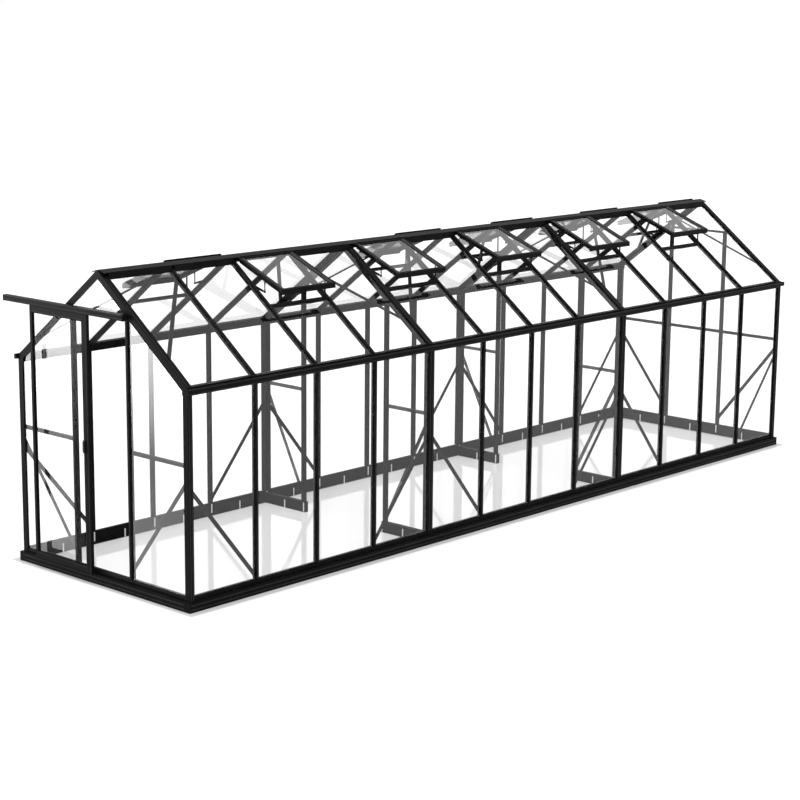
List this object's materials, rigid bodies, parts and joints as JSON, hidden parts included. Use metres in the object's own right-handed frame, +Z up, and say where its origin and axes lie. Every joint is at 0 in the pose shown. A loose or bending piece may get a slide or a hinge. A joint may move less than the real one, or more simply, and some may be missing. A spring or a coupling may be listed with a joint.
{
  "type": "greenhouse",
  "caption": "Long gable-roofed glass greenhouse: black metal frame, sliding door on an overhead track, ajar roof vents and open partitions.",
  "frame": {"origin": "middle of the base frame's footprint, at floor level", "axes": "+X along the ridge away from the sliding door's gable, +Y to the back long wall, +Z up"},
  "size_m": [8.612, 2.274, 2.625],
  "materials": {
    "frame_coat": "black powder coat, satin",
    "base_coat": "black powder coat, satin",
    "pane_glass": "clear horticultural glass",
    "grip_plastic": "black moulded grip"
  },
  "bodies": {
    "house": {"front_base_rail": "base_coat", "back_base_rail": "base_coat", "gable_base_rails": "base_coat", "corner_posts": "frame_coat", "front_wall_bars": "frame_coat", "back_wall_bars": "frame_coat", "front_portal_posts": "frame_coat", "back_portal_posts": "frame_coat", "eave_beams": "frame_coat", "front_gutter": "frame_coat", "back_gutter": "frame_coat", "ridge_beam": "frame_coat", "front_roof_bars": "frame_coat", "back_roof_bars": "frame_coat", "front_portal_rafters": "frame_coat", "back_portal_rafters": "frame_coat", "front_gable_rafters": "frame_coat", "back_gable_rafters": "frame_coat", "door_gable_bars": "frame_coat", "far_gable_bars": "frame_coat", "gable_head_rails": "frame_coat", "gable_mid_rails": "frame_coat", "wall_braces": "frame_coat", "roof_braces": "frame_coat", "gable_braces": "frame_coat", "partition_base_rails": "base_coat", "partition_posts": "frame_coat", "partition_mid_rails": "frame_coat", "partition_braces": "frame_coat", "partition_glass": "pane_glass", "front_wall_glass": "pane_glass", "back_wall_glass": "pane_glass", "front_roof_glass": "pane_glass", "back_roof_glass": "pane_glass", "door_gable_glass": "pane_glass", "far_gable_glass": "pane_glass", "vent_sills": "frame_coat", "front_vents": "frame_coat", "back_vents": "frame_coat", "front_vent_glass": "pane_glass", "back_vent_glass": "pane_glass", "vent_stays": "frame_coat", "door_track": "frame_coat", "track_brackets": "frame_coat"},
    "door": {"door_frame": "frame_coat", "door_glass": "pane_glass", "door_hangers": "frame_coat", "door_handle": "grip_plastic"}
  },
  "joints": [
    {"name": "door_slide", "type": "slide", "parent": "house", "child": "door", "axis": [0, 1, 0], "range_m": [-0.452, 0.348]}
  ]
}
